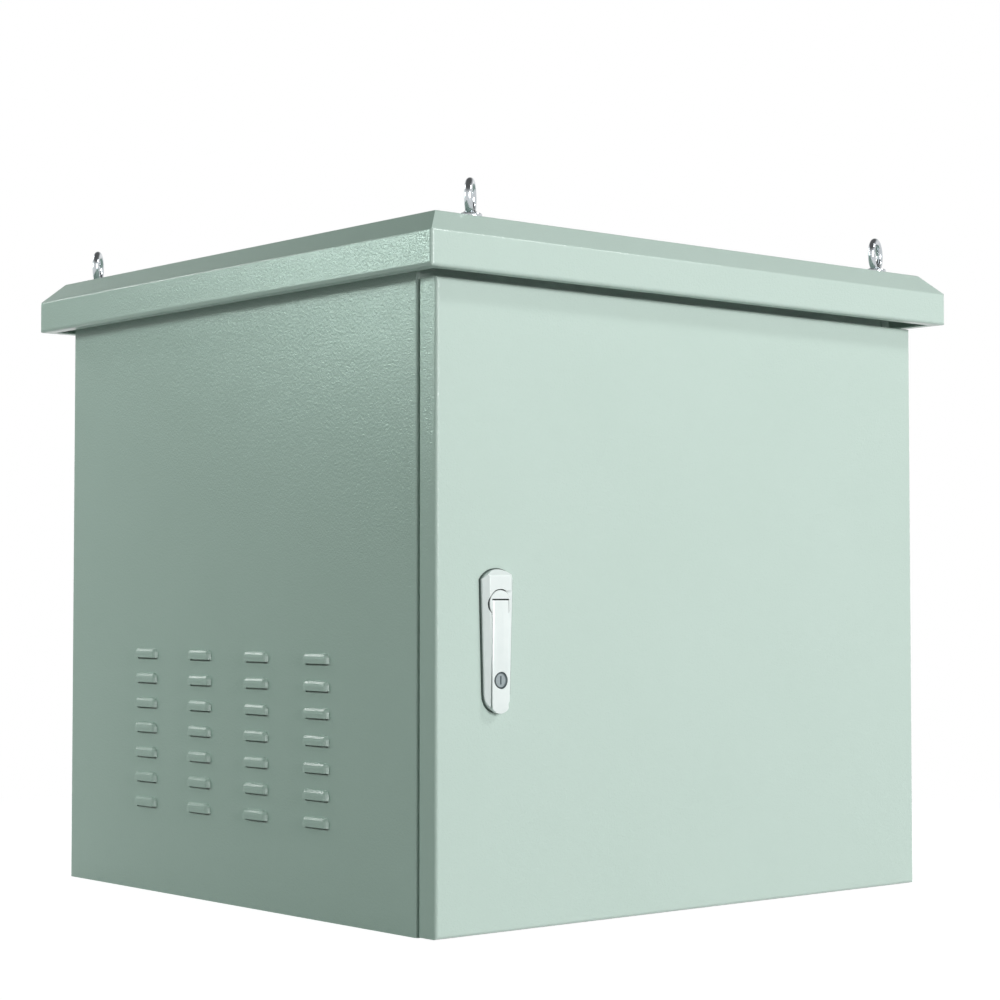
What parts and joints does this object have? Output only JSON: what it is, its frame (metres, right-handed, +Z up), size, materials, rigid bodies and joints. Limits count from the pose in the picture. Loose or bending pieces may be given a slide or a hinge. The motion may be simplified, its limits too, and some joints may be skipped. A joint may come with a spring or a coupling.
{
  "type": "roadside utility cabinet",
  "caption": "Sheet steel outdoor equipment cabinet with an overhanging rain roof, lifting eyes, louvred sides and a hinged front door with a swing handle lock.",
  "frame": {"origin": "on the floor under the centre of the roof in plan", "axes": "+Z up, the door faces -Y, +X to the right when facing the door"},
  "size_m": [0.65, 0.64, 0.633],
  "materials": {
    "powder_coat": "pale grey-green fine-textured satin powder coat",
    "bright_zinc": "bright zinc plated forged steel",
    "white_satin": "white satin die-cast lock parts",
    "foam_seal": "matt dark grey foamed gasket",
    "black_rubber": "matt black rubber",
    "filter_mat": "white fibre filter fleece",
    "satin_steel": "satin nickel plated key cylinder",
    "galvanised_sheet": "galvanised sheet with faint spangle",
    "zinc_fasteners": "zinc plated steel"
  },
  "bodies": {
    "cabinet": {"left_side_panel": "powder_coat", "right_side_panel": "powder_coat", "back_panel": "powder_coat", "base_pan": "powder_coat", "top_plate": "powder_coat", "frame_left_stile": "powder_coat", "frame_right_stile": "powder_coat", "frame_top_rail": "powder_coat", "frame_bottom_rail": "powder_coat", "roof_canopy": "powder_coat", "front_lifting_bar": "zinc_fasteners", "rear_lifting_bar": "zinc_fasteners", "lifting_bar_bolts": "zinc_fasteners", "front_left_lifting_eye": "bright_zinc", "front_right_lifting_eye": "bright_zinc", "rear_left_lifting_eye": "bright_zinc", "rear_right_lifting_eye": "bright_zinc", "lifting_eye_nuts": "zinc_fasteners", "upper_hinge_frame_leaf": "zinc_fasteners", "lower_hinge_frame_leaf": "zinc_fasteners", "left_filter_frame": "galvanised_sheet", "right_filter_frame": "galvanised_sheet", "left_filter_mat": "filter_mat", "right_filter_mat": "filter_mat", "filter_nuts": "zinc_fasteners", "front_left_rail": "galvanised_sheet", "front_right_rail": "galvanised_sheet", "rear_left_rail": "galvanised_sheet", "rear_right_rail": "galvanised_sheet", "lower_left_brace": "galvanised_sheet", "lower_right_brace": "galvanised_sheet", "upper_left_brace": "galvanised_sheet", "upper_right_brace": "galvanised_sheet", "rail_bolts": "zinc_fasteners", "rail_nuts": "zinc_fasteners", "gland_plate": "galvanised_sheet", "cable_grommets": "black_rubber", "gland_plate_screws": "zinc_fasteners", "earth_stud": "zinc_fasteners", "earth_nut": "zinc_fasteners"},
    "door": {"door_panel": "powder_coat", "door_gasket": "foam_seal", "upper_hinge_door_leaf": "zinc_fasteners", "lower_hinge_door_leaf": "zinc_fasteners", "upper_hinge_pin": "zinc_fasteners", "lower_hinge_pin": "zinc_fasteners", "lock_housing": "white_satin", "lock_gasket": "black_rubber", "lock_nut": "zinc_fasteners", "lock_stud_nut": "zinc_fasteners"},
    "lock_spindle": {"lock_disc": "white_satin", "handle_pin": "zinc_fasteners", "latch_cam": "zinc_fasteners", "cam_screw": "zinc_fasteners"},
    "handle": {"handle_lever": "white_satin", "lock_cylinder": "satin_steel"},
    "key": {"key_plug": "satin_steel"}
  },
  "joints": [
    {"name": "door_swing", "type": "hinge", "parent": "cabinet", "child": "door", "pos_m": [0.2925, -0.2875, 0.273], "axis": [0, 0, 1], "range_deg": [0, 115]},
    {"name": "handle_turn", "type": "hinge", "parent": "door", "child": "lock_spindle", "pos_m": [-0.237, -0.2955, 0.275], "axis": [0, -1, 0], "range_deg": [0, 90]},
    {"name": "handle_lift", "type": "hinge", "parent": "lock_spindle", "child": "handle", "pos_m": [-0.237, -0.3011, 0.2762], "axis": [-1, 0, 0], "range_deg": [0, 40]},
    {"name": "key_turn", "type": "hinge", "parent": "handle", "child": "key", "pos_m": [-0.237, -0.31, 0.2113], "axis": [0, -1, 0], "range_deg": [0, 90]}
  ]
}
